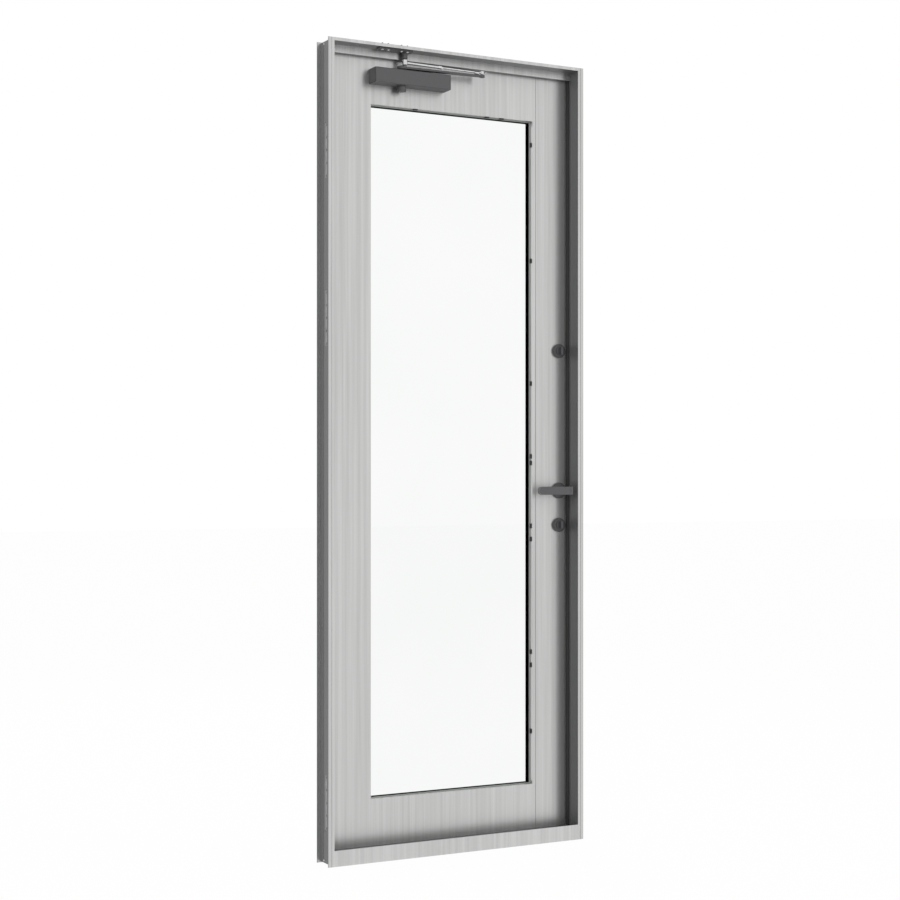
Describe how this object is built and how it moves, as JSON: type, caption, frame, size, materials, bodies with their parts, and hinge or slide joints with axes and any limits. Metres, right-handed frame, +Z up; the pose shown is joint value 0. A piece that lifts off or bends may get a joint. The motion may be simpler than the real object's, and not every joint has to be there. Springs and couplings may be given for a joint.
{
  "type": "glazed outward opening door with frame and door closer",
  "caption": "Narrow glazed metal door that opens outwards in its flanged frame, with lever, thumbturns, butt hinges and a parallel-arm closer.",
  "frame": {"origin": "underside of the sill, half way across the frame and half way through its depth", "axes": "+X from the hinge side to the lock side, +Y from the room to the outside (the way the leaf opens), +Z up"},
  "size_m": [0.844, 0.158, 2.336],
  "materials": {
    "brushed_face": "vertical brushed grain",
    "frame_metal": "brushed faces, dark grey reveals",
    "seal_rubber": "matt black",
    "hinge_steel": "satin",
    "glass": "clear",
    "furniture": "dark grey satin",
    "closer_paint": "dark grey fine texture",
    "arm_chrome": "polished"
  },
  "bodies": {
    "frame": {"hinge_jamb": "frame_metal", "lock_jamb": "frame_metal", "head": "frame_metal", "sill": "frame_metal", "head_seal": "seal_rubber", "sill_seal": "seal_rubber", "hinge_side_seal": "seal_rubber", "lock_side_seal": "seal_rubber", "top_hinge_frame_plate": "hinge_steel", "middle_hinge_frame_plate": "hinge_steel", "bottom_hinge_frame_plate": "hinge_steel", "top_backing_plate": "hinge_steel", "middle_backing_plate": "hinge_steel", "bottom_backing_plate": "hinge_steel", "strike_plate": "hinge_steel", "closer_bracket": "closer_paint"},
    "leaf": {"hinge_stile": "brushed_face", "lock_stile": "brushed_face", "top_rail": "brushed_face", "bottom_rail": "brushed_face", "glazing_post": "brushed_face", "glass_pane": "glass", "hinge_side_bead": "brushed_face", "lock_side_bead": "brushed_face", "top_bead": "brushed_face", "bottom_bead": "brushed_face", "top_hinge_leaf_plate": "hinge_steel", "middle_hinge_leaf_plate": "hinge_steel", "bottom_hinge_leaf_plate": "hinge_steel", "inside_lever_rose": "furniture", "outside_knob_rose": "furniture", "upper_turn_rose": "furniture", "lower_turn_rose": "furniture", "upper_key_cylinder": "furniture", "lower_key_cylinder": "furniture", "lock_faceplate": "hinge_steel", "closer_body": "closer_paint", "closer_cap": "closer_paint"},
    "lever": {"inside_lever": "furniture", "outside_knob": "furniture"},
    "upper_turn": {"upper_thumbturn": "furniture"},
    "lower_turn": {"lower_thumbturn": "furniture"},
    "closer_main_arm": {"main_arm": "closer_paint"},
    "closer_forearm": {"forearm": "arm_chrome"}
  },
  "joints": [
    {"name": "door_swing", "type": "hinge", "parent": "frame", "child": "leaf", "pos_m": [-0.4, 0.059, 0], "axis": [0, 0, 1], "range_deg": [0, 95], "stiffness_Nm_per_rad": 8, "springref_deg": -22.92},
    {"name": "lever_turn", "type": "hinge", "parent": "leaf", "child": "lever", "pos_m": [0.3715, 0.031, 1.0535], "axis": [0, -1, 0], "range_deg": [0, 40], "stiffness_Nm_per_rad": 1, "springref_deg": -34.38},
    {"name": "upper_turn", "type": "hinge", "parent": "leaf", "child": "upper_turn", "pos_m": [0.3715, 0, 1.4775], "axis": [0, 1, 0], "range_deg": [0, 90]},
    {"name": "lower_turn", "type": "hinge", "parent": "leaf", "child": "lower_turn", "pos_m": [0.3715, 0, 0.949], "axis": [0, 1, 0], "range_deg": [0, 90]},
    {"name": "main_arm_swing", "type": "hinge", "parent": "leaf", "child": "closer_main_arm", "pos_m": [-0.172, -0.0125, 2.272], "axis": [0, 0, 1], "range_deg": [-115, 0]},
    {"name": "forearm_swing", "type": "hinge", "parent": "frame", "child": "closer_forearm", "pos_m": [-0.167, -0.021, 2.287], "axis": [0, 0, 1], "range_deg": [0, 85]}
  ],
  "couplings": [
    {"joint": "main_arm_swing", "follows": "door_swing", "ratio": -1.17},
    {"joint": "forearm_swing", "follows": "door_swing", "ratio": 0.77}
  ]
}
